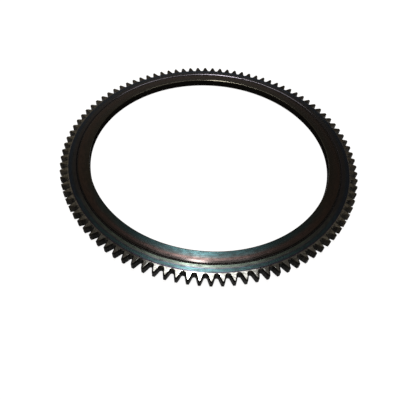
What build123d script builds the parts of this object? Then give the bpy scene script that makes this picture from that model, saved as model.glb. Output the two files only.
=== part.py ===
"""
Flywheel ring gear.

A flat steel ring that is heated and shrunk onto the rim of an engine flywheel.
The starter pinion meshes with the teeth around its outside. It is one solid: a
blank turned from its section, with a groove in its top face and chamfered tooth
tips, and straight involute teeth cut right across its edge. The top end faces of
the teeth lie a little below the top face, and a bevel runs round their edges.

The ring lies flat, with its bottom face on Z = 0 and its axis on Z. One tooth
is centred on +X. Sizes are in millimetres and angles in degrees.
"""

from build123d import *
from math import acos, asin, cos, pi, radians, sin, tan
import os

# Teeth
tooth_count = 99
module_size = 3.0
pressure_angle = 20.0
addendum_factor = 1.0
dedendum_factor = 1.35
flank_backlash = 0.3
tip_chamfer = 1.05
end_bevel = 1.05

# Turned ring
body_wall = 21.7
body_thickness = 7.7
bore_chamfer = 0.5

# Groove turned in the top face, placed from the bore's wall to its middle
groove_offset = 11.85
groove_width = 1.2
groove_floor_width = 0.4
groove_depth = 0.8

# Step that drops the top end faces of the teeth, placed inside the root circle
step_depth = 0.25
step_run_in = 1.4

# Cutter travel past the blank, and of the bevel past the top end faces
cutter_overrun = 1.0
bevel_overrun = 0.3

# Sizes that follow from the ones above
pitch_radius = module_size * tooth_count / 2
base_radius = pitch_radius * cos(radians(pressure_angle))
tip_radius = pitch_radius + addendum_factor * module_size
root_radius = pitch_radius - dedendum_factor * module_size
cutter_radius = tip_radius + cutter_overrun
tooth_pitch_angle = 360 / tooth_count

bore_radius = root_radius - body_wall
step_radius = root_radius - step_run_in
tooth_top = body_thickness - step_depth
groove_middle = bore_radius + groove_offset
groove_inner = groove_middle - groove_width / 2
groove_outer = groove_middle + groove_width / 2
floor_inner = groove_middle - groove_floor_width / 2
floor_outer = groove_middle + groove_floor_width / 2
groove_bottom = body_thickness - groove_depth


def involute(angle: float) -> float:
    """Involute function of an angle in radians."""
    return tan(angle) - angle


def space_half_angle(radius: float) -> float:
    """Half the angle, in radians, that a tooth space spans at a radius."""
    pitch_half_angle = pi / (2 * tooth_count) + flank_backlash / (2 * pitch_radius)
    opening = involute(acos(base_radius / radius)) - involute(radians(pressure_angle))
    return pitch_half_angle + opening


def on_flank(radius: float, side: int, widening: float) -> Vector:
    """Point where a flank of the tooth space crosses a radius, moved into the tooth by a widening."""
    angle = side * space_half_angle(radius)
    lean = acos(base_radius / radius)
    outward = Vector(cos(angle), sin(angle))
    around = Vector(-sin(angle), cos(angle))
    return outward * (radius - widening * sin(lean)) + around * (side * widening * cos(lean))


# Full-round root: an arc that leaves both flanks of a tooth space smoothly
root_half_angle = space_half_angle(root_radius)
root_half_width = root_radius * sin(root_half_angle)
flank_lean = acos(base_radius / root_radius) + root_half_angle
round_radius = root_radius + root_half_width * cos(flank_lean)
round_end = on_flank(round_radius, 1, 0)
round_rise = round_end.X - root_radius
root_rounding = (round_rise**2 + round_end.Y**2) / (2 * round_rise)
root_half_turn = asin(round_end.Y / root_rounding)
flank_middle_radius = (round_radius + cutter_radius) / 2


def on_root(share: float, widening: float) -> Vector:
    """Point of the root arc at a share of its half turn from the middle, moved inwards by a widening."""
    angle = share * root_half_turn
    reach = root_rounding + widening
    return Vector(root_radius + root_rounding - reach * cos(angle), reach * sin(angle))


def flank_arc(side: int, widening: float) -> None:
    """Draw one involute flank, from the root arc out past the tip, as an arc."""
    ThreePointArc(
        on_flank(round_radius, side, widening),
        on_flank(flank_middle_radius, side, widening),
        on_flank(cutter_radius, side, widening),
    )


def tooth_space(height: float, widening: float) -> Sketch:
    """One tooth space at a height, centred on +X and open past the tips."""
    with BuildSketch(Plane.XY.offset(height)) as space:
        with BuildLine():
            # Four chords, all within 0.1 mm of the root arc, keep the repeated faces few
            Polyline(
                on_flank(round_radius, -1, widening),
                on_root(-0.5, widening),
                on_root(0, widening),
                on_root(0.5, widening),
                on_flank(round_radius, 1, widening),
            )
            flank_arc(1, widening)
            Line(on_flank(cutter_radius, 1, widening), on_flank(cutter_radius, -1, widening))
            flank_arc(-1, widening)
        make_face()
    return space.sketch


# Cutter for one tooth space, which widens at its top to bevel the edges of the end faces
cutter_foot = tooth_space(-cutter_overrun, 0)
bevel_foot = tooth_space(tooth_top - end_bevel, 0)
bevel_head = tooth_space(tooth_top + bevel_overrun, end_bevel + bevel_overrun)
with BuildPart() as space_cutter:
    extrude(cutter_foot, amount=body_thickness + 2 * cutter_overrun)
    loft([bevel_foot, bevel_head], ruled=True)

with BuildPart() as ring_gear:
    # Blank, turned from its section
    with BuildSketch(Plane.XZ) as section:
        with BuildLine():
            Polyline(
                (bore_radius, 0),
                (tip_radius, 0),
                (tip_radius, tooth_top),
                (step_radius, tooth_top),
                (step_radius, body_thickness),
                (groove_outer, body_thickness),
                (floor_outer, groove_bottom),
                (floor_inner, groove_bottom),
                (groove_inner, body_thickness),
                (bore_radius, body_thickness),
                close=True,
            )
        make_face()
        chamfer(section.vertices().group_by(Axis.X)[0], length=bore_chamfer)
        chamfer(section.vertices().group_by(Axis.X)[-1], length=tip_chamfer)
    revolve(axis=Axis.Z)

    # Teeth, left standing where the spaces are cut
    with PolarLocations(0, tooth_count, start_angle=tooth_pitch_angle / 2):
        add(space_cutter.part, mode=Mode.SUBTRACT)

ring_gear.part.label = "ring_gear"

os.makedirs("parts", exist_ok=True)
export_step(ring_gear.part, "parts/ring_gear.step")
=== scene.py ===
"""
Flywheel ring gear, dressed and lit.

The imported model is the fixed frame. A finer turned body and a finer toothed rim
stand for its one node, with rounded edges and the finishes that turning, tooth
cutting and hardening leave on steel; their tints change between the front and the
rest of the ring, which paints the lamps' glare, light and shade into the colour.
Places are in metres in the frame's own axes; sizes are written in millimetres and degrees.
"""

import logging
import math
from dataclasses import dataclass, field
from enum import Enum

import bpy
import numpy as np
from mathutils import Matrix, Vector

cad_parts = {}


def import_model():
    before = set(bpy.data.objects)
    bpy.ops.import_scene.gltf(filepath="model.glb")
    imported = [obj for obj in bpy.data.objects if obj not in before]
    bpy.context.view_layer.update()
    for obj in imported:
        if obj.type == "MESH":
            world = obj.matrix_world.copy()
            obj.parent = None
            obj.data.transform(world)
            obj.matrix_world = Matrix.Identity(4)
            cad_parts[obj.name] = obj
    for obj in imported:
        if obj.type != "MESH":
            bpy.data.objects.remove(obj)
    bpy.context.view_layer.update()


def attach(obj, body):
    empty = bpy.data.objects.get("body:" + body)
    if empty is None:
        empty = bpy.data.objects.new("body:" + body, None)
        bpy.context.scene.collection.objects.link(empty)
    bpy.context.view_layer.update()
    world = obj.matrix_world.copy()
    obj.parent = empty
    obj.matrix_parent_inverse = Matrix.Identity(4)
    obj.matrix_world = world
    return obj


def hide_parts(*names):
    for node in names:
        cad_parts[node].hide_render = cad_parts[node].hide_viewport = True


LOG = logging.getLogger("ring_gear_scene")

MM = 0.001
NODE = "ring_gear"
BODY = "root"

# Faces that meet at more than this keep a sharp edge between their normals
SHARP_EDGE_ANGLE = 40

# The Mix node has a set of sockets for each kind of data; these are its share and its colours
MIX_SHARE = 0
MIX_FIRST = 6
MIX_SECOND = 7
MIX_RESULT = 2


def linear_colour(hex_code: str) -> tuple[float, float, float, float]:
    """Turn an sRGB hex colour into linear RGBA.

    Args:
        hex_code: Six hex digits after a hash sign.

    Returns:
        Red, green, blue and alpha, as a shader socket takes them.
    """
    channels = [int(hex_code[place : place + 2], 16) / 255 for place in (1, 3, 5)]

    # The sRGB curve is straight near black and a power above
    low = [value / 12.92 for value in channels]
    high = [((value + 0.055) / 1.055) ** 2.4 for value in channels]
    red, green, blue = [a if v <= 0.04045 else b for v, a, b in zip(channels, low, high)]
    return red, green, blue, 1.0


def add_node(
    tree: bpy.types.NodeTree,
    kind: str,
    settings: dict[str | int, object] | None = None,
    links: dict[str | int, bpy.types.NodeSocket] | None = None,
) -> bpy.types.Node:
    """Add one node, set its values and link its inputs.

    Args:
        tree: Node tree that takes the node.
        kind: Blender's name for the node.
        settings: Values by the name of a property of the node, or by the name or number of an input.
        links: Output sockets by the name or number of the input that each one feeds.

    Returns:
        The new node.
    """
    node = tree.nodes.new(kind)
    for key, value in (settings or {}).items():
        if isinstance(key, str) and hasattr(node, key):
            setattr(node, key, value)
        else:
            node.inputs[key].default_value = value
    for key, socket in (links or {}).items():
        tree.links.new(socket, node.inputs[key])
    return node


@dataclass(frozen=True)
class GearSizes:
    """The ring's driving sizes, in millimetres and degrees, and what follows from them."""

    tooth_count: int = 99
    module_size: float = 3.0
    pressure_angle: float = 20.0
    addendum_factor: float = 1.0
    dedendum_factor: float = 1.35
    flank_backlash: float = 0.3
    tip_chamfer: float = 1.05
    end_bevel: float = 1.05
    body_wall: float = 21.7
    body_thickness: float = 7.7
    groove_offset: float = 11.85
    groove_width: float = 1.2
    groove_floor_width: float = 0.4
    groove_depth: float = 0.8
    step_depth: float = 0.25
    step_run_in: float = 1.4

    @property
    def pitch_radius(self) -> float:
        """Radius of the pitch circle."""
        return self.module_size * self.tooth_count / 2

    @property
    def base_radius(self) -> float:
        """Radius of the involutes' base circle."""
        return self.pitch_radius * math.cos(math.radians(self.pressure_angle))

    @property
    def tip_radius(self) -> float:
        """Radius of the tooth tips."""
        return self.pitch_radius + self.addendum_factor * self.module_size

    @property
    def root_radius(self) -> float:
        """Radius of the lowest point between two teeth."""
        return self.pitch_radius - self.dedendum_factor * self.module_size

    @property
    def bore_radius(self) -> float:
        """Radius of the bore."""
        return self.root_radius - self.body_wall

    @property
    def step_radius(self) -> float:
        """Radius of the step in front of the tooth ends."""
        return self.root_radius - self.step_run_in

    @property
    def tooth_top(self) -> float:
        """Height of the tooth ends."""
        return self.body_thickness - self.step_depth

    @property
    def groove_middle(self) -> float:
        """Radius of the middle of the groove."""
        return self.bore_radius + self.groove_offset

    @property
    def pitch_angle(self) -> float:
        """Angle from one tooth to the next, in radians."""
        return 2 * math.pi / self.tooth_count

    def space_half_angle(self, radius: np.ndarray) -> np.ndarray:
        """Find how wide a tooth space is.

        Args:
            radius: Radii at which to measure.

        Returns:
            Half the angle of the space at each radius, in radians.
        """
        here = np.arccos(self.base_radius / radius)
        at_pitch = math.radians(self.pressure_angle)
        opening = (np.tan(here) - here) - (math.tan(at_pitch) - at_pitch)
        return math.pi / (2 * self.tooth_count) + self.flank_backlash / (2 * self.pitch_radius) + opening


@dataclass(frozen=True)
class Lay:
    """A pattern drawn out around the ring: the size of its features across the radius and along the ring."""

    across: float
    along: float


@dataclass(frozen=True)
class FilmTint:
    """A tint of the oxide film, at a distance outwards from the bore's wall."""

    offset: float
    colour: str


@dataclass
class RingPattern:
    """Noises and tints that follow the ring, in one material's node tree. Sizes are in millimetres.

    The ring has two tints at each radius: one for a sector at its front, painted light that gives
    the colours the oxide film shows in the lamp's glare there, and one for everywhere else, out of it.
    """

    tree: bpy.types.NodeTree
    sizes: GearSizes = field(default_factory=GearSizes)

    # Sockets for a point's direction from the axis, as a unit vector, and for its radius
    outward: bpy.types.NodeSocket = field(init=False)
    radius: bpy.types.NodeSocket = field(init=False)

    # How far the film's tints wander in and out, and the size of the stretches that do so
    wander: float = 1.6
    wander_lay: Lay = Lay(across=5.0, along=24.0)

    # Direction from the front sector to the back, and the places on it, from -1 at the front to
    # 1 at the back, between which the tint changes over; patches of this size fray that border
    back_direction: float = 88.0
    border_start: float = -0.62
    border_end: float = -0.22
    patch_lay: Lay = Lay(across=8.0, along=30.0)
    patch_strength: float = 0.5

    def __post_init__(self) -> None:
        """Add the nodes for a point's direction from the axis and for its radius."""
        place = add_node(self.tree, "ShaderNodeTexCoord")
        flat = add_node(
            self.tree,
            "ShaderNodeVectorMath",
            {"operation": "MULTIPLY", 1: (1 / MM, 1 / MM, 0.0)},
            {0: place.outputs["Object"]},
        )
        flat_place = {0: flat.outputs["Vector"]}
        outward = add_node(self.tree, "ShaderNodeVectorMath", {"operation": "NORMALIZE"}, flat_place)
        radius = add_node(self.tree, "ShaderNodeVectorMath", {"operation": "LENGTH"}, flat_place)
        self.outward = outward.outputs["Vector"]
        self.radius = radius.outputs["Value"]

    def noise(self, lay: Lay, detail: float = 2.0) -> bpy.types.NodeSocket:
        """Add a noise that is drawn out around the ring.

        Args:
            lay: Size of the noise's features across the radius and along the ring.
            detail: Number of finer layers.

        Returns:
            The noise's value, around a half.
        """
        # One unit of the noise's space is one feature
        reach = self.sizes.pitch_radius / lay.along
        height = add_node(
            self.tree, "ShaderNodeMath", {"operation": "DIVIDE", 1: lay.across}, {0: self.radius}
        )
        lifted = add_node(self.tree, "ShaderNodeCombineXYZ", None, {"Z": height.outputs["Value"]})
        place = add_node(
            self.tree,
            "ShaderNodeVectorMath",
            {"operation": "MULTIPLY_ADD", 1: (reach, reach, 0.0)},
            {0: self.outward, 2: lifted.outputs["Vector"]},
        )
        noise = add_node(
            self.tree,
            "ShaderNodeTexNoise",
            {"Scale": 1.0, "Detail": detail},
            {"Vector": place.outputs["Vector"]},
        )
        return noise.outputs["Fac"]

    def film(self, tints: tuple[FilmTint, ...]) -> bpy.types.NodeSocket:
        """Add the tints that an oxide film has from the bore out to the step and past it.

        Args:
            tints: Tints in order from the bore; the last one lies on all that is outside the step.

        Returns:
            The tint's colour.
        """
        gear = self.sizes
        moved = add_node(
            self.tree,
            "ShaderNodeMath",
            {"operation": "MULTIPLY_ADD", 1: self.wander},
            {0: self.noise(self.wander_lay), 2: self.radius},
        )
        place = add_node(
            self.tree,
            "ShaderNodeMapRange",
            {"From Min": gear.bore_radius + self.wander / 2, "From Max": gear.step_radius + self.wander / 2},
            {"Value": moved.outputs["Value"]},
        )
        ramp = add_node(self.tree, "ShaderNodeValToRGB", None, {"Fac": place.outputs["Result"]})
        elements = ramp.color_ramp.elements
        while len(elements) < len(tints):
            elements.new(1.0)
        for element, tint in zip(elements, tints):
            element.position = tint.offset / (gear.step_radius - gear.bore_radius)
            element.color = linear_colour(tint.colour)
        return ramp.outputs["Color"]

    def out_of_glare_share(self) -> bpy.types.NodeSocket:
        """Add the share that the tint from outside the lit front sector has.

        Returns:
            The share, from 0 to 1.
        """
        direction = math.radians(self.back_direction)
        facing = add_node(
            self.tree,
            "ShaderNodeVectorMath",
            {"operation": "DOT_PRODUCT", 1: (math.cos(direction), math.sin(direction), 0.0)},
            {0: self.outward},
        )
        frayed = add_node(
            self.tree,
            "ShaderNodeMath",
            {"operation": "MULTIPLY_ADD", 1: self.patch_strength},
            {0: self.noise(self.patch_lay), 2: facing.outputs["Value"]},
        )
        share = add_node(
            self.tree,
            "ShaderNodeMapRange",
            {"From Min": self.border_start, "From Max": self.border_end},
            {"Value": frayed.outputs["Value"]},
        )
        return share.outputs["Result"]


@dataclass(frozen=True)
class Finish:
    """A steel surface: how it was cut, and what that gives the eye. Sizes are in millimetres.

    The tints at the front and elsewhere are each one colour, or a film with tints by radius; they are
    painted light, the steel's colour in the lamps' glare at the front and out of it elsewhere.
    The marks are relief, and the streaks darken the tint and change the roughness.
    """

    name: str
    front: str | tuple[FilmTint, ...]
    elsewhere: str | tuple[FilmTint, ...]
    dark_colour: str
    roughness: float
    roughness_spread: float
    marks: Lay
    mark_depth: float
    streaks: Lay
    streak_strength: float
    anisotropy: float = 0.0
    metallic: float = 1.0
    specular: float = 0.5

    # A noise keeps near its middle, so its useful part is drawn out: less of it for the
    # streaks, which have clear edges, and more for the roughness, which changes softly
    streak_part: tuple[float, float] = (0.35, 0.65)
    roughness_part: tuple[float, float] = (0.3, 0.7)

    # Finer layers in the marks, and the turn that lays the highlight across the tool lines
    mark_detail: float = 3.0
    highlight_turn: float = 0.25

    def material(self) -> bpy.types.Material:
        """Give the finish's material, and make it the first time."""
        found = bpy.data.materials.get(self.name)
        return found or self.make()

    def base_colour(self, tree: bpy.types.NodeTree, pattern: RingPattern) -> bpy.types.NodeSocket:
        """Add the two tints, each in its own part of the ring.

        Args:
            tree: The material's node tree.
            pattern: Patterns laid around the ring in that tree.

        Returns:
            The colour before it is darkened.
        """
        both = add_node(tree, "ShaderNodeMix", {"data_type": "RGBA"}, {MIX_SHARE: pattern.out_of_glare_share()})
        for socket, tint in ((MIX_FIRST, self.front), (MIX_SECOND, self.elsewhere)):
            if isinstance(tint, str):
                both.inputs[socket].default_value = linear_colour(tint)
            else:
                tree.links.new(pattern.film(tint), both.inputs[socket])
        return both.outputs[MIX_RESULT]

    def make(self) -> bpy.types.Material:
        """Build the material's nodes.

        Returns:
            The new material.
        """
        made = bpy.data.materials.new(self.name)
        made.use_nodes = True
        tree = made.node_tree
        tree.nodes.clear()
        pattern = RingPattern(tree)
        marks = pattern.noise(self.marks, self.mark_detail)
        streaks = pattern.noise(self.streaks)
        darkening = add_node(
            tree,
            "ShaderNodeMapRange",
            {
                "From Min": self.streak_part[0],
                "From Max": self.streak_part[1],
                "To Min": 0.0,
                "To Max": self.streak_strength,
            },
            {"Value": streaks},
        )
        colour = add_node(
            tree,
            "ShaderNodeMix",
            {"data_type": "RGBA", MIX_SECOND: linear_colour(self.dark_colour)},
            {MIX_SHARE: darkening.outputs["Result"], MIX_FIRST: self.base_colour(tree, pattern)},
        )
        shine = add_node(
            tree,
            "ShaderNodeMapRange",
            {
                "From Min": self.roughness_part[0],
                "From Max": self.roughness_part[1],
                "To Min": self.roughness - self.roughness_spread,
                "To Max": self.roughness + self.roughness_spread,
            },
            {"Value": streaks},
        )
        relief = add_node(
            tree, "ShaderNodeBump", {"Strength": 1.0, "Distance": self.mark_depth * MM}, {"Height": marks}
        )
        along = add_node(tree, "ShaderNodeTangent", {"direction_type": "RADIAL", "axis": "Z"})
        shader = add_node(
            tree,
            "ShaderNodeBsdfPrincipled",
            {
                "Metallic": self.metallic,
                "Specular IOR Level": self.specular,
                "Anisotropic": self.anisotropy,
                "Anisotropic Rotation": self.highlight_turn,
            },
            {
                "Base Color": colour.outputs[MIX_RESULT],
                "Roughness": shine.outputs["Result"],
                "Normal": relief.outputs["Normal"],
                "Tangent": along.outputs["Tangent"],
            },
        )
        add_node(tree, "ShaderNodeOutputMaterial", None, {"Surface": shader.outputs["BSDF"]})
        return made


# Lines of the turning tool. Its feed leaves one about every 0.1 mm, which is too fine to show
# at 1 mm to the pixel, so they are drawn about three times as far apart, and 60 mm long. They
# lie a little closer on the narrow faces.
WIDE_FACE_LINES = Lay(across=0.35, along=60.0)
NARROW_FACE_LINES = Lay(across=0.3, along=60.0)

# Smears of oil and scale along the tool's lines: as wide as the groove, and 45 mm long
TURNED_SMEARS = Lay(across=1.2, along=45.0)

# Scallops that the hob leaves on the teeth
HOB_SCALLOPS = Lay(across=0.5, along=3.0)

# Stains on the tooth edges, about as long as a tooth is thick
TOOTH_STAINS = Lay(across=3.0, along=5.0)

# Tints of the film that tempering leaves on the turned face, painted as they show in the lamp's
# glare at the front: blue-green at the bore, rose up to the groove, grey-green past it, then blue again
FILM_IN_FRONT_GLARE = (
    FilmTint(0.25, "#1c2c2d"),
    FilmTint(3.65, "#1d2b2d"),
    FilmTint(6.05, "#272a2a"),
    FilmTint(7.45, "#352a28"),
    FilmTint(9.65, "#2f2928"),
    FilmTint(11.25, "#262423"),
    FilmTint(13.05, "#343d35"),
    FilmTint(15.75, "#363a37"),
    FilmTint(16.55, "#27252e"),
    FilmTint(17.15, "#213335"),
    FilmTint(19.25, "#243334"),
    FilmTint(19.95, "#26202e"),
)

# The same film as a shaded copy, out of the glare: brown inside the groove, grey past it, navy before the
# step
FILM_OUT_OF_GLARE = (
    FilmTint(0.25, "#28251f"),
    FilmTint(3.65, "#28241f"),
    FilmTint(6.25, "#2c2520"),
    FilmTint(9.65, "#2e2520"),
    FilmTint(11.25, "#292320"),
    FilmTint(13.05, "#292625"),
    FilmTint(15.75, "#262626"),
    FilmTint(16.55, "#222428"),
    FilmTint(17.45, "#1d232a"),
    FilmTint(19.25, "#1c232c"),
    FilmTint(19.95, "#1a1e2a"),
)

# Tooth ends away from the front: a darker brown where they meet the step, painted shade in that corner,
# then a bare olive grey, lighter than at the front, which paints the light on the teeth at the sides
TOOTH_FILM_OUT_OF_GLARE = (
    FilmTint(19.95, "#2b241f"),
    FilmTint(20.29, "#38322b"),
    FilmTint(20.3, "#605d54"),
)

# Carbon steel, turned and then tempered. The tool's lines draw the lamps' light out across
# them into a broad sheen, and patches of film of 1.6 by 6 mm cloud its tint.
TEMPERED_TURNED_STEEL = Finish(
    name="tempered_turned_steel",
    front=FILM_IN_FRONT_GLARE,
    elsewhere=FILM_OUT_OF_GLARE,
    dark_colour="#151413",
    roughness=0.26,
    roughness_spread=0.03,
    anisotropy=0.7,
    marks=WIDE_FACE_LINES,
    mark_depth=0.004,
    streaks=Lay(across=1.6, along=6.0),
    streak_strength=0.5,
)

# The same steel where a finer cut was taken up to the groove: smoother, with one hard bright spot
SMOOTH_TURNED_STEEL = Finish(
    name="smooth_turned_steel",
    front=FILM_IN_FRONT_GLARE,
    elsewhere=FILM_OUT_OF_GLARE,
    dark_colour="#151413",
    roughness=0.17,
    roughness_spread=0.02,
    anisotropy=0.9,
    marks=WIDE_FACE_LINES,
    mark_depth=0.002,
    streaks=TURNED_SMEARS,
    streak_strength=0.4,
)

# Steel plunge-cut by the grooving tool: nearly black, darker than the face around it, a painted shade
# in the groove, with a dull gloss
GROOVED_STEEL = Finish(
    name="grooved_steel",
    front="#1a1918",
    elsewhere="#1f1d1b",
    dark_colour="#100f0e",
    roughness=0.3,
    roughness_spread=0.03,
    marks=NARROW_FACE_LINES,
    mark_depth=0.002,
    streaks=TURNED_SMEARS,
    streak_strength=0.4,
)

# Steel burnished by handling on the groove's outer edge: dark, but smooth enough to
# mirror a lamp as a thin line with a cast of violet
BURNISHED_GROOVE_LIP = Finish(
    name="burnished_steel_groove_lip",
    front="#262427",
    elsewhere="#272528",
    dark_colour="#1f1d21",
    roughness=0.13,
    roughness_spread=0.005,
    marks=NARROW_FACE_LINES,
    mark_depth=0.0001,
    streaks=TURNED_SMEARS,
    streak_strength=0.1,
)

# Steel burnished on the bore's top edge: smoother still, for a short line of pale gold; its lighter tint
# away from the front paints extra brightness into that line at the back
BURNISHED_BORE_LIP = Finish(
    name="burnished_steel_bore_lip",
    front="#23211d",
    elsewhere="#2d2b25",
    dark_colour="#1d1c18",
    roughness=0.08,
    roughness_spread=0.005,
    marks=NARROW_FACE_LINES,
    mark_depth=0.0001,
    streaks=TURNED_SMEARS,
    streak_strength=0.1,
)

# Bored steel under black scale. The scale is an oxide and not a metal: it is matt, and so
# dark that the white paper in front of it doesn't turn it grey.
SCALED_BORED_STEEL = Finish(
    name="scaled_bored_steel",
    front="#111010",
    elsewhere="#100f0e",
    dark_colour="#0a0a09",
    roughness=0.55,
    roughness_spread=0.03,
    metallic=0.0,
    specular=0.0,
    marks=NARROW_FACE_LINES,
    mark_depth=0.002,
    streaks=TURNED_SMEARS,
    streak_strength=0.5,
)

# Steel faced by a last light cut over the tooth ends: a near mirror, white where it meets a
# lamp. Scuffs of 0.5 by 2 mm ripple it, and blots of scale of 1.6 by 2.4 mm, about half a
# tooth's thickness, mottle it.
FACED_STEEL = Finish(
    name="faced_steel",
    front="#565654",
    elsewhere=TOOTH_FILM_OUT_OF_GLARE,
    dark_colour="#2a2924",
    roughness=0.08,
    roughness_spread=0.04,
    marks=Lay(across=0.5, along=2.0),
    mark_depth=0.002,
    streaks=Lay(across=1.6, along=2.4),
    streak_strength=0.8,
)

# Hobbed steel under hardening scale, on flanks, tips and bevels: matt like the bore. It is black at the
# front, painted shade on the flanks there, and olive elsewhere, painted light on the teeth at the sides,
# in patches of 2.2 by 3 mm, half a tooth's thickness, where the scale is thin
HOBBED_STEEL_SCALE_SHADE_AND_LIGHT = Finish(
    name="hobbed_steel_scale_shade_and_light",
    front="#121110",
    elsewhere="#33302a",
    dark_colour="#0a0a09",
    roughness=0.5,
    roughness_spread=0.1,
    metallic=0.0,
    specular=0.03,
    marks=HOB_SCALLOPS,
    mark_depth=0.01,
    streaks=Lay(across=2.2, along=3.0),
    streak_strength=0.95,
)

# Hobbed steel rubbed bare where a bevel crosses a root: a small grey glint in each space; a little lighter
# away from the front, painted light like the rest of the teeth
RUBBED_STEEL = Finish(
    name="rubbed_steel",
    front="#3a3835",
    elsewhere="#46443e",
    dark_colour="#1e1c1b",
    roughness=0.3,
    roughness_spread=0.1,
    marks=HOB_SCALLOPS,
    mark_depth=0.005,
    streaks=TOOTH_STAINS,
    streak_strength=0.6,
)

# Hobbed steel rounded over by a deburring brush, which leaves scratches of 0.5 by 4 mm: dark
# metal with a faint sheen along each edge, lighter away from the front, which paints the light on the
# teeth at the sides
DEBURRED_STEEL = Finish(
    name="deburred_steel",
    front="#151413",
    elsewhere="#2e2c26",
    dark_colour="#0d0c0b",
    roughness=0.4,
    roughness_spread=0.1,
    marks=Lay(across=0.5, along=4.0),
    mark_depth=0.01,
    streaks=TOOTH_STAINS,
    streak_strength=0.8,
)


def skin_rings(
    name: str, rings: list[np.ndarray], finishes: list[Finish], choice: np.ndarray
) -> bpy.types.Object:
    """Join closed rings of points, in order, into one closed mesh.

    Args:
        name: Name of the new piece.
        rings: Rings with the same number of points each, in millimetres; the last one joins the first.
        finishes: Finishes that the piece's faces choose from.
        choice: Number of each face's finish, in a row for each ring.

    Returns:
        The new object, smooth, with its normals weighted by face area.
    """
    ring_count = len(rings)
    column_count = len(rings[0])
    points = np.concatenate(rings) * MM
    rows, columns = np.meshgrid(np.arange(ring_count), np.arange(column_count), indexing="ij")
    next_rows = (rows + 1) % ring_count
    next_columns = (columns + 1) % column_count
    corners = np.stack(
        [
            rows * column_count + columns,
            rows * column_count + next_columns,
            next_rows * column_count + next_columns,
            next_rows * column_count + columns,
        ],
        axis=-1,
    ).reshape(-1, 4)
    mesh = bpy.data.meshes.new(name)
    mesh.from_pydata(points.tolist(), [], corners.tolist())
    for finish in finishes:
        mesh.materials.append(finish.material())
    mesh.polygons.foreach_set("material_index", choice.ravel().tolist())
    mesh.polygons.foreach_set("use_smooth", [True] * len(corners))
    mesh.update()
    mesh.set_sharp_from_angle(angle=math.radians(SHARP_EDGE_ANGLE))
    piece = bpy.data.objects.new(name, mesh)
    bpy.context.scene.collection.objects.link(piece)
    weighted = piece.modifiers.new("face_weighted_normals", "WEIGHTED_NORMAL")
    weighted.mode = "FACE_AREA"
    weighted.keep_sharp = True
    return piece


class BodyFace(Enum):
    """Faces of the turned body, by their places in its list of finishes."""

    TOP = 0
    BORE = 1
    MARGIN = 2
    GROOVE = 3
    GROOVE_LIP = 4
    BORE_LIP = 5


@dataclass(frozen=True)
class Corner:
    """A corner of the turned section: its rounding's size and face, and the face that comes after it."""

    radius: float
    height: float
    rounding: float
    edge: BodyFace
    face: BodyFace


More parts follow.
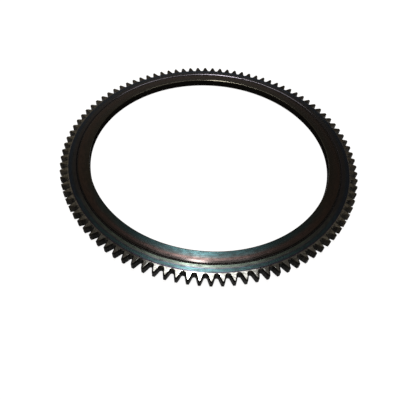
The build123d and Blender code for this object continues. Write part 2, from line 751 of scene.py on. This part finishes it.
@dataclass
class TurnedBody:
    """The ring inside its teeth: the bore, both faces and the groove, turned from one section."""

    sizes: GearSizes = field(default_factory=GearSizes)
    lip_rounding: float = 0.3

    # The finely cut margin falls a little towards the groove
    margin_width: float = 2.0
    margin_drop: float = 0.15

    # At the back of the ring the worn lips, which lean this far, mirror the upper part of the lamps
    bore_lip_run: float = 0.6
    groove_lip_run: float = 0.7
    bore_lip_slope: float = 23.0
    groove_lip_slope: float = 21.5
    lip_blend: float = 1.2

    groove_rounding: float = 0.2
    step_rounding: float = 0.12
    hidden_rounding: float = 0.05
    columns_per_tooth: int = 8
    arc_steps: int = 6

    def corners(self) -> list[Corner]:
        """List the section's corners.

        Returns:
            Corners in order from the bottom of the bore outwards and back over the top.
        """
        gear = self.sizes
        thickness = gear.body_thickness
        half = gear.groove_width / 2
        half_floor = gear.groove_floor_width / 2
        floor_height = thickness - gear.groove_depth
        margin_foot = thickness - self.margin_drop
        margin_radius = gear.groove_middle - half - self.margin_width
        bore_lip = thickness - self.bore_lip_run * math.tan(math.radians(self.bore_lip_slope))
        groove_foot = thickness - self.groove_lip_run * math.tan(math.radians(self.groove_lip_slope))
        groove_lip = gear.groove_middle + half
        top = BodyFace.TOP
        bore = BodyFace.BORE
        margin = BodyFace.MARGIN
        groove = BodyFace.GROOVE
        groove_edge = BodyFace.GROOVE_LIP
        bore_edge = BodyFace.BORE_LIP
        return [
            Corner(gear.bore_radius, 0.0, self.lip_rounding, bore, top),
            Corner(gear.step_radius, 0.0, self.hidden_rounding, top, top),
            Corner(gear.step_radius, thickness, self.step_rounding, top, top),
            Corner(groove_lip + self.groove_lip_run, thickness, self.lip_blend, groove_edge, groove_edge),
            Corner(groove_lip, groove_foot, self.groove_rounding, groove_edge, groove),
            Corner(gear.groove_middle + half_floor, floor_height, self.groove_rounding, groove, groove),
            Corner(gear.groove_middle - half_floor, floor_height, self.groove_rounding, groove, groove),
            Corner(gear.groove_middle - half, margin_foot, self.groove_rounding, groove, margin),
            Corner(margin_radius, thickness, self.hidden_rounding, top, top),
            Corner(gear.bore_radius + self.bore_lip_run, thickness, self.lip_blend, bore_edge, bore_edge),
            Corner(gear.bore_radius, bore_lip, self.lip_rounding, bore_edge, bore),
        ]

    def section(self) -> tuple[np.ndarray, list[BodyFace]]:
        """Round the corners of the closed section.

        Returns:
            Points of the rounded section as radius and height, and the face of the span after each point.
        """
        corners = self.corners()
        points: list[np.ndarray] = []
        faces: list[BodyFace] = []
        for place, corner in enumerate(corners):
            here = np.array([corner.radius, corner.height])
            before = corners[place - 1]
            after = corners[(place + 1) % len(corners)]
            back = np.array([before.radius, before.height]) - here
            ahead = np.array([after.radius, after.height]) - here
            back = back / np.linalg.norm(back)
            ahead = ahead / np.linalg.norm(ahead)

            # The arc that touches both sides has its centre on the line that halves the corner
            half_opening = math.acos(float(np.clip(back @ ahead, -1, 1))) / 2
            middle = (back + ahead) / np.linalg.norm(back + ahead)
            centre = here + middle * corner.rounding / math.sin(half_opening)
            reach = corner.rounding / math.tan(half_opening)
            start = here + back * reach - centre
            end = here + ahead * reach - centre
            turn = math.atan2(start[0] * end[1] - start[1] * end[0], float(start @ end))
            for step in range(self.arc_steps + 1):
                angle = turn * step / self.arc_steps
                spin = np.array([[math.cos(angle), -math.sin(angle)], [math.sin(angle), math.cos(angle)]])
                points.append(centre + spin @ start)
                faces.append(corner.edge if step < self.arc_steps else corner.face)
        return np.array(points), faces

    def build(self) -> bpy.types.Object:
        """Turn the section round the axis.

        Returns:
            The body as one closed piece.
        """
        points, span_faces = self.section()
        count = self.sizes.tooth_count * self.columns_per_tooth
        angles = np.arange(count) * 2 * math.pi / count
        rings = [
            np.stack([radius * np.cos(angles), radius * np.sin(angles), np.full(count, height)], axis=-1)
            for radius, height in points
        ]
        finishes = [
            TEMPERED_TURNED_STEEL,
            SCALED_BORED_STEEL,
            SMOOTH_TURNED_STEEL,
            GROOVED_STEEL,
            BURNISHED_GROOVE_LIP,
            BURNISHED_BORE_LIP,
        ]
        choice = np.array([[face.value] * count for face in span_faces])
        return skin_rings("turned_body", rings, finishes, choice)


class RimFace(Enum):
    """Faces of the toothed rim, by their places in its list of finishes."""

    END = 0
    FLANK = 1
    BEVEL = 2
    EDGE = 3
    ROOT = 4


@dataclass(frozen=True)
class RimLevel:
    """A ring of the rim's outline: its height, how far its edge is drawn in, and the face after it."""

    height: float
    inset: float
    face: RimFace


@dataclass
class ToothedRim:
    """The band of teeth: involute flanks, round roots, chamfered tips and bevelled ends."""

    sizes: GearSizes = field(default_factory=GearSizes)
    bevel_rounding: float = 0.25
    edge_break: float = 0.14
    rounding_steps: int = 3
    tip_steps: int = 4
    flank_steps: int = 7
    root_steps: int = 8
    end_rows: int = 2

    def pitch_outline(self, level: RimLevel) -> tuple[np.ndarray, np.ndarray]:
        """Lay out one pitch of the outline, from the middle of a tooth to the middle of the next.

        Args:
            level: The outline's level; its inset widens the space between the teeth.

        Returns:
            Angles from the middle of the space, and radii.
        """
        gear = self.sizes

        # The arc of the root leaves both flanks smoothly, at the form radius
        root = gear.root_radius
        root_angle = float(gear.space_half_angle(np.array(root)))
        half_width = root * math.sin(root_angle)
        lean = math.acos(gear.base_radius / root) + root_angle
        form_radius = root + half_width * math.cos(lean)
        form_angle = float(gear.space_half_angle(np.array(form_radius)))
        rise = form_radius * math.cos(form_angle) - root
        half_chord = form_radius * math.sin(form_angle)
        arc_radius = (rise**2 + half_chord**2) / (2 * rise)
        sweep = math.asin(min(1.0, half_chord / arc_radius))
        turns = np.linspace(-sweep, sweep, self.root_steps + 1)
        arc_x = root + arc_radius - (arc_radius + level.inset) * np.cos(turns)
        arc_y = (arc_radius + level.inset) * np.sin(turns)

        # An inset turns an involute about the axis and draws the tip in
        reach = gear.tip_radius - level.inset * gear.tip_chamfer / gear.end_bevel
        arc_reach = math.hypot(arc_x[-1], arc_y[-1])
        flank_radii = np.linspace(arc_reach, reach, self.flank_steps + 1)[1:]
        flank_angles = gear.space_half_angle(flank_radii) + level.inset / gear.base_radius

        # The tip is flat from one flank to the other
        half_pitch = gear.pitch_angle / 2
        tip_angles = np.linspace(float(flank_angles[-1]), half_pitch, self.tip_steps // 2 + 1)[1:]
        tip_radii = reach * math.cos(half_pitch - float(flank_angles[-1])) / np.cos(half_pitch - tip_angles)

        right_radii = np.concatenate([flank_radii, tip_radii])
        right_angles = np.concatenate([flank_angles, tip_angles])
        radii = np.concatenate([right_radii[::-1], np.hypot(arc_x, arc_y), right_radii[:-1]])
        angles = np.concatenate([-right_angles[::-1], np.arctan2(arc_y, arc_x), right_angles[:-1]])
        return angles, radii

    def outline(self, level: RimLevel) -> np.ndarray:
        """Lay out one level's whole outline, with one tooth centred on +X.

        Args:
            level: Height and inset of the level.

        Returns:
            Points in millimetres.
        """
        gear = self.sizes
        angles, radii = self.pitch_outline(level)
        turns = (np.arange(gear.tooth_count) + 0.5)[:, None] * gear.pitch_angle + angles[None, :]
        reach = np.broadcast_to(radii, turns.shape)
        flat = np.stack([(reach * np.cos(turns)).ravel(), (reach * np.sin(turns)).ravel()], axis=-1)
        return np.column_stack([flat, np.full(len(flat), level.height)])

    def bevel_levels(
        self, face_height: float, downward: int, bevel: float, rounding: float
    ) -> list[RimLevel]:
        """List the levels of a bevel with rounded edges, from an end face towards the middle of the rim.

        Args:
            face_height: Height of the end face.
            downward: 1 for the bevel of a top end face, -1 for that of a bottom one.
            bevel: Width of the bevel, which leans at 45 degrees.
            rounding: Radius of the roundings beside it.

        Returns:
            Levels in order from the end face.
        """
        turns = np.linspace(0, math.pi / 4, self.rounding_steps + 1)
        run = rounding * math.tan(math.pi / 8)
        levels = [
            RimLevel(
                face_height - downward * rounding * (1 - math.cos(turn)),
                bevel + run - rounding * math.sin(turn),
                RimFace.EDGE,
            )
            for turn in turns
        ]
        levels += [
            RimLevel(
                face_height - downward * (bevel + run - rounding * math.sin(turn)),
                rounding * (1 - math.cos(turn)),
                RimFace.EDGE,
            )
            for turn in reversed(turns)
        ]
        middle = self.rounding_steps
        levels[middle] = RimLevel(levels[middle].height, levels[middle].inset, RimFace.BEVEL)
        levels[-1] = RimLevel(levels[-1].height, levels[-1].inset, RimFace.FLANK)
        return levels

    def levels(self) -> list[RimLevel]:
        """List the outline's levels.

        Returns:
            Levels from the top end faces down to the bottom ones.
        """
        gear = self.sizes
        upper = self.bevel_levels(gear.tooth_top, 1, gear.end_bevel, self.bevel_rounding)
        middle = RimLevel(gear.tooth_top / 2, 0.0, RimFace.FLANK)

        # Listed downwards, each span has the face that belongs to the level below it
        lower = self.bevel_levels(0.0, -1, self.edge_break, self.edge_break / 2)[::-1]
        faces = [level.face for level in lower[1:]] + [RimFace.END]
        lower = [RimLevel(level.height, level.inset, face) for level, face in zip(lower, faces)]
        return upper + [middle] + lower

    def end_rings(self, edge: np.ndarray) -> list[np.ndarray]:
        """Fill an end face between the step and the outline.

        Args:
            edge: The outline at the end face's height.

        Returns:
            Rings from the step's circle outwards, without the outline itself.
        """
        radii = np.hypot(edge[:, 0], edge[:, 1])
        rings = []
        for row in range(self.end_rows):
            target = self.sizes.step_radius + (radii - self.sizes.step_radius) * row / self.end_rows
            share = target / radii
            rings.append(np.column_stack([edge[:, 0] * share, edge[:, 1] * share, edge[:, 2]]))
        return rings

    def build(self) -> bpy.types.Object:
        """Skin the rim from its levels and end faces.

        Returns:
            The rim as one closed piece.
        """
        levels = self.levels()
        outlines = [self.outline(level) for level in levels]
        top_rings = self.end_rings(outlines[0])
        bottom_rings = self.end_rings(outlines[-1])[::-1]
        rings = top_rings + outlines + bottom_rings
        end_rows = [RimFace.END] * self.end_rows
        row_faces = end_rows + [level.face for level in levels] + end_rows

        # A bevel is worn bare in the middle half of each root
        column_count = len(outlines[0])
        per_tooth = column_count // self.sizes.tooth_count
        from_root = np.abs(np.arange(column_count) % per_tooth + 0.5 - per_tooth / 2)
        worn = np.where(from_root < self.root_steps / 4, RimFace.ROOT.value, RimFace.BEVEL.value)
        choice = np.array(
            [worn if face is RimFace.BEVEL else np.full(column_count, face.value) for face in row_faces]
        )
        finishes = [FACED_STEEL, HOBBED_STEEL_SCALE_SHADE_AND_LIGHT, HOBBED_STEEL_SCALE_SHADE_AND_LIGHT, DEBURRED_STEEL, RUBBED_STEEL]
        return skin_rings("toothed_rim", rings, finishes, choice)


@dataclass(frozen=True)
class SoftLamp:
    """A white rectangular lamp that faces the front of the ring, placed by its direction from there.

    The azimuth turns from +Y towards +X. Lengths are in millimetres, angles in degrees and
    the radiance in watts per square metre and steradian.
    """

    name: str
    azimuth: float
    elevation: float
    distance: float
    width: float
    height: float
    radiance: float
    aim: tuple[float, float, float] = (0.0, -133.0, 0.0)

    def build(self) -> bpy.types.Object:
        """Hang the lamp.

        Returns:
            The lamp's object.
        """
        data = bpy.data.lights.new(self.name, "AREA")
        data.shape = "RECTANGLE"
        data.size = self.width * MM
        data.size_y = self.height * MM
        data.energy = self.radiance * math.pi * self.width * self.height * MM**2
        lamp = bpy.data.objects.new(self.name, data)
        azimuth = math.radians(self.azimuth)
        elevation = math.radians(self.elevation)
        away = Vector(
            (
                math.sin(azimuth) * math.cos(elevation),
                math.cos(azimuth) * math.cos(elevation),
                math.sin(elevation),
            )
        )
        lamp.location = (Vector(self.aim) + away * self.distance) * MM
        lamp.rotation_euler = away.to_track_quat("Z", "Y").to_euler()
        bpy.context.scene.collection.objects.link(lamp)
        LOG.info("%s: %.1f W", self.name, data.energy)
        return lamp


@dataclass(frozen=True)
class PaperSweep:
    """White paper under the ring, rising to a low wall all round it. Sizes are in millimetres."""

    floor_gap: float = 0.05
    floor_radius: float = 2500.0
    cove_radius: float = 300.0
    wall_height: float = 900.0
    columns: int = 96
    cove_steps: int = 12

    # The paper that lights the ring, and the one that is seen: a dimmer sheet that takes the
    # ring's shadow, with a glow that brings it up to white
    colour: str = "#e6e6e6"
    shown_colour: str = "#6e6e6e"
    glow: float = 0.92

    def paper(self) -> bpy.types.Material:
        """Make the paper: white to the camera and in reflections, with the ring's soft shadow on it.

        Returns:
            The paper's material.
        """
        made = bpy.data.materials.new("white_paper")
        made.use_nodes = True
        tree = made.node_tree
        tree.nodes.clear()
        path = add_node(tree, "ShaderNodeLightPath")
        seen = add_node(
            tree,
            "ShaderNodeMath",
            {"operation": "MAXIMUM"},
            {0: path.outputs["Is Camera Ray"], 1: path.outputs["Is Glossy Ray"]},
        )
        shown = add_node(
            tree,
            "ShaderNodeMath",
            {"operation": "MAXIMUM"},
            {0: seen.outputs["Value"], 1: path.outputs["Is Transmission Ray"]},
        )
        plain = add_node(tree, "ShaderNodeBsdfDiffuse", {"Color": linear_colour(self.colour)})
        shaded = add_node(tree, "ShaderNodeBsdfDiffuse", {"Color": linear_colour(self.shown_colour)})
        glow = add_node(tree, "ShaderNodeEmission", {"Strength": self.glow})
        white = add_node(
            tree, "ShaderNodeAddShader", None, {0: shaded.outputs["BSDF"], 1: glow.outputs["Emission"]}
        )
        choice = add_node(
            tree,
            "ShaderNodeMixShader",
            None,
            {0: shown.outputs["Value"], 1: plain.outputs["BSDF"], 2: white.outputs["Shader"]},
        )
        add_node(tree, "ShaderNodeOutputMaterial", None, {"Surface": choice.outputs["Shader"]})
        return made

    def build(self) -> bpy.types.Object:
        """Lay the paper.

        Returns:
            The sweep.
        """
        turns = np.linspace(0, math.pi / 2, self.cove_steps)
        radii = self.floor_radius + self.cove_radius * np.sin(turns)
        heights = self.cove_radius * (1 - np.cos(turns)) - self.floor_gap
        radii = np.append(radii, radii[-1])
        heights = np.append(heights, self.wall_height)
        angles = np.arange(self.columns) * 2 * math.pi / self.columns
        points = [
            (radius * math.cos(angle) * MM, radius * math.sin(angle) * MM, height * MM)
            for radius, height in zip(radii, heights)
            for angle in angles
        ]
        faces: list[tuple[int, ...]] = [tuple(range(self.columns))]
        for row in range(len(radii) - 1):
            for column in range(self.columns):
                start = row * self.columns
                after = (column + 1) % self.columns
                upper = start + self.columns
                faces.append((start + column, start + after, upper + after, upper + column))
        mesh = bpy.data.meshes.new("paper_sweep")
        mesh.from_pydata(points, [], faces)
        mesh.materials.append(self.paper())
        sweep = bpy.data.objects.new("paper_sweep", mesh)
        bpy.context.scene.collection.objects.link(sweep)
        return sweep


@dataclass(frozen=True)
class Studio:
    """The paper, the lamps and the dim room that the steel's faces mirror."""

    sweep: PaperSweep
    lamps: tuple[SoftLamp, ...]

    # The room darkens towards this direction, and the change lies between these two cosines of
    # the angle from it
    wall_side: tuple[float, float, float] = (0.22, 0.93, 0.29)
    wall_border: tuple[float, float] = (0.78, 0.97)
    room_colour: str = "#ccc3b8"
    wall_colour: str = "#5e5754"

    def room(self) -> None:
        """Fill the room with dim warm light, darker towards the wall below the window."""
        world = bpy.data.worlds.new("dim_room")
        world.use_nodes = True
        tree = world.node_tree
        tree.nodes.clear()
        place = add_node(tree, "ShaderNodeTexCoord")
        side = add_node(
            tree,
            "ShaderNodeVectorMath",
            {"operation": "DOT_PRODUCT", 1: self.wall_side},
            {0: place.outputs["Generated"]},
        )
        share = add_node(
            tree,
            "ShaderNodeMapRange",
            {"From Min": self.wall_border[0], "From Max": self.wall_border[1]},
            {"Value": side.outputs["Value"]},
        )
        light = add_node(
            tree,
            "ShaderNodeMix",
            {
                "data_type": "RGBA",
                MIX_FIRST: linear_colour(self.room_colour),
                MIX_SECOND: linear_colour(self.wall_colour),
            },
            {MIX_SHARE: share.outputs["Result"]},
        )
        sky = add_node(tree, "ShaderNodeBackground", {"Strength": 1.0}, {"Color": light.outputs[MIX_RESULT]})
        add_node(tree, "ShaderNodeOutputWorld", None, {"Surface": sky.outputs["Background"]})
        bpy.context.scene.world = world

    def build(self) -> None:
        """Set up the paper, the room and the lamps."""
        self.sweep.build()
        self.room()
        for lamp in self.lamps:
            lamp.build()
        bpy.context.scene.view_settings.view_transform = "Standard"


@dataclass(frozen=True)
class PhotoCamera:
    """The camera, at the photograph's viewing angle. Lengths are in millimetres and angles in degrees."""

    location: tuple[float, float, float] = (-5.21, -291.98, 286.27)
    target: tuple[float, float, float] = (-6.64, -62.18, 0.0)
    roll: float = 3.61
    field_of_view: float = 55.02
    nearest: float = 1.0
    farthest: float = 100000.0

    def build(self) -> bpy.types.Object:
        """Stand the camera up.

        Returns:
            The camera's object, which the scene now uses.
        """
        data = bpy.data.cameras.new("photo_camera")
        data.sensor_fit = "HORIZONTAL"
        data.angle = math.radians(self.field_of_view)
        data.clip_start = self.nearest * MM
        data.clip_end = self.farthest * MM
        camera = bpy.data.objects.new("photo_camera", data)
        place = Vector(self.location) * MM
        aim = Vector(self.target) * MM - place
        turn = aim.to_track_quat("-Z", "Y").to_matrix() @ Matrix.Rotation(math.radians(self.roll), 3, "Z")
        camera.matrix_world = Matrix.Translation(place) @ turn.to_4x4()
        bpy.context.scene.collection.objects.link(camera)
        bpy.context.scene.camera = camera
        return camera


def carry(piece: bpy.types.Object) -> None:
    """Hang a piece on the ring's body, in place of its node, and log its faces and top.

    Args:
        piece: A piece of the ring.
    """
    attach(piece, BODY)
    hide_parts(NODE)
    top = max(corner[2] for corner in piece.bound_box)
    LOG.info("%s: %d faces, top at %.2f mm", piece.name, len(piece.data.polygons), top / MM)


def main() -> None:
    """Build the ring, the studio and the camera, and log each piece's faces and top."""
    logging.basicConfig(level=logging.INFO, format="%(name)s: %(message)s")
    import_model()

    for part in (TurnedBody(), ToothedRim()):
        carry(part.build())

    # The flat top mirrors the wide window at the ring's front, and the worn lips mirror the
    # narrow bright gap above it at the ring's back
    window = SoftLamp(
        "window",
        azimuth=1.6,
        elevation=61.0,
        distance=1818.0,
        width=576.0,
        height=260.0,
        radiance=13.0,
    )
    gap = SoftLamp(
        "curtain_gap",
        azimuth=-1.1,
        elevation=66.0,
        distance=1780.0,
        width=105.0,
        height=500.0,
        radiance=88.0,
    )
    Studio(PaperSweep(), (window, gap)).build()
    PhotoCamera().build()


if __name__ == "__main__":
    main()
